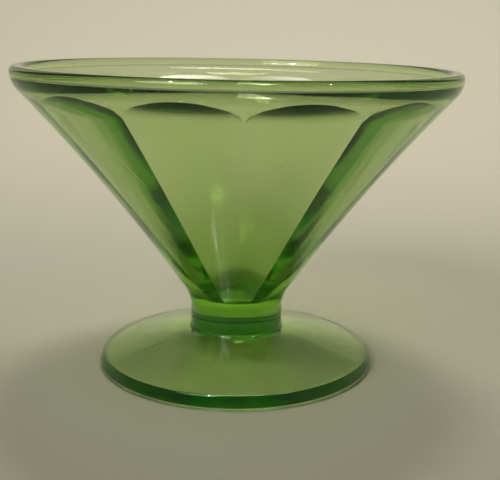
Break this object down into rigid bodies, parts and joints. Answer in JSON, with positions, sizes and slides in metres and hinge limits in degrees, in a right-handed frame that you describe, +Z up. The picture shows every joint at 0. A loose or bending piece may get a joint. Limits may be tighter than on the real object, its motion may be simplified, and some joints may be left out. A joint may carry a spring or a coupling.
{
  "type": "footed cone cocktail glass",
  "caption": "Wide cone bowl with flat arched panels inside, on a short solid collar and a thick round foot, in clear green glass, for serving drinks or desserts.",
  "frame": {"origin": "centre of the resting plane, under the foot", "axes": "+Z up along the turning axis of the foot, collar and bowl; one rib between two inside panels faces -Y"},
  "size_m": [0.102, 0.102, 0.0706],
  "materials": {
    "bowl": "fire-polished pressed green glass",
    "collar": "fire-polished pressed green glass, solid",
    "foot": "fire-polished pressed green glass, lightly worn"
  },
  "bodies": {
    "root": {"bowl": "bowl", "collar": "collar", "foot": "foot"}
  },
  "joints": []
}
